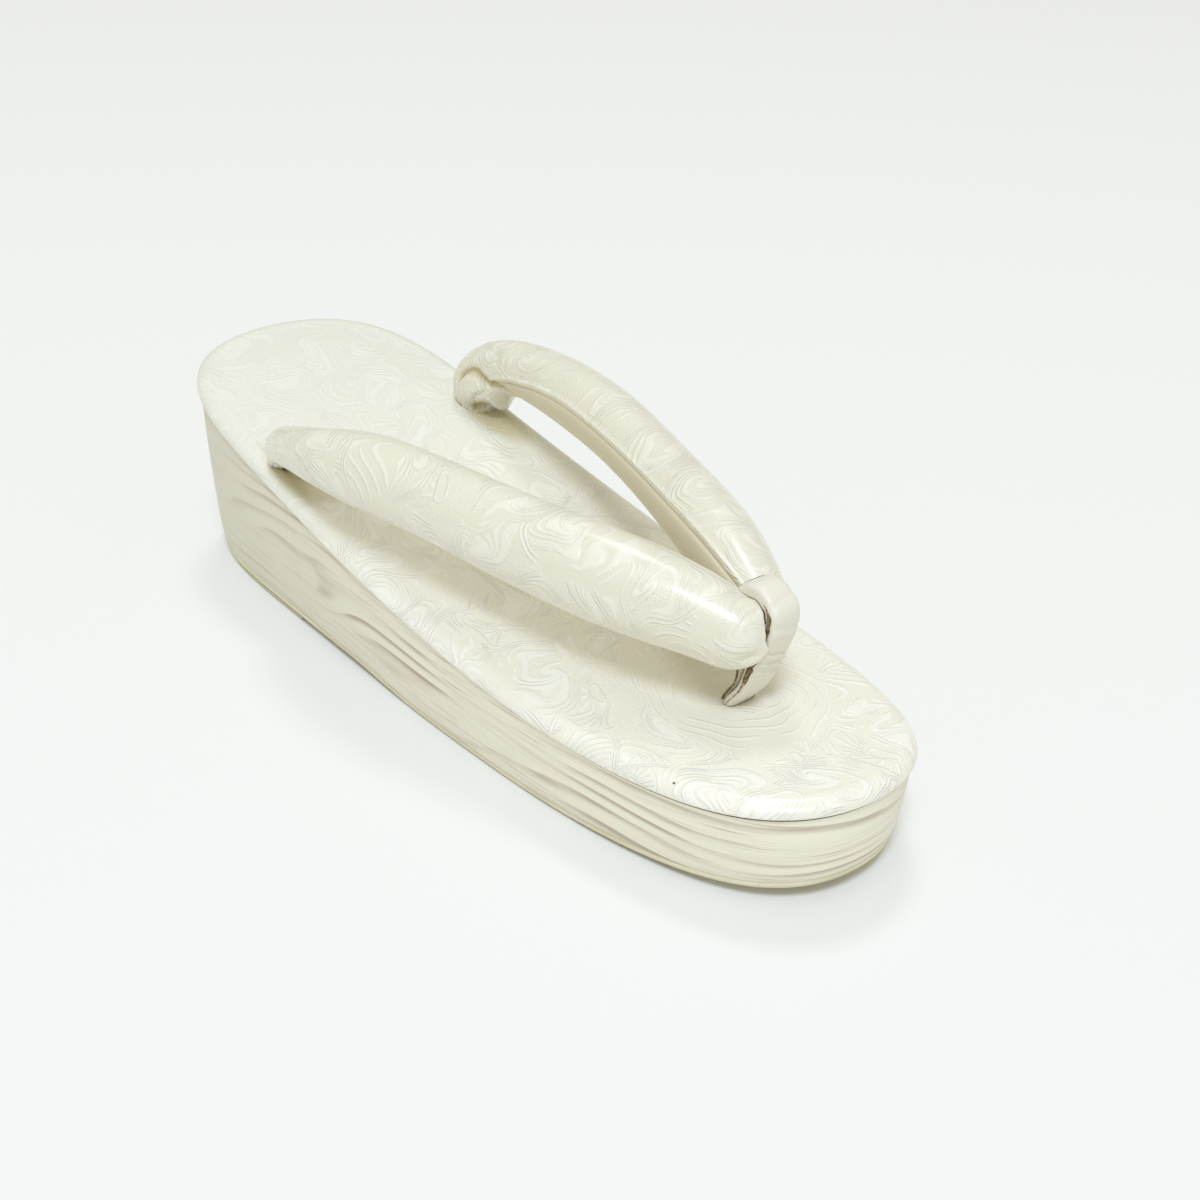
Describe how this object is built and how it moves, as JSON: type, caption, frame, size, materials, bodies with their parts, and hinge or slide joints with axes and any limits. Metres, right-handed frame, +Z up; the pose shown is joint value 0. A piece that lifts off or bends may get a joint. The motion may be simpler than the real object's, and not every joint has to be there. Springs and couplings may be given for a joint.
{
  "type": "zori sandal",
  "caption": "Wedge-soled zori sandal with a padded thong strap, an embossed pearly top, a wood-grain side and a rubber underside.",
  "frame": {"origin": "on the floor under the middle of the sole", "axes": "+Z up; -Y towards the toe, +Y towards the heel; +X towards the wearer's left, -X towards the wearer's right"},
  "size_m": [0.0851, 0.24, 0.0661],
  "materials": {
    "heel_pad": "matt",
    "outsole": "matt",
    "wedge": "satin wood-grain sheet over a light foam body",
    "top_cover": "pearly embossed synthetic leather",
    "strap": "pearly embossed synthetic leather, stuffed",
    "toe_loop": "pearly synthetic leather band"
  },
  "bodies": {
    "root": {"heel_pad": "heel_pad", "outsole": "outsole", "wedge": "wedge", "top_cover": "top_cover", "strap": "strap", "toe_loop": "toe_loop"}
  },
  "joints": []
}
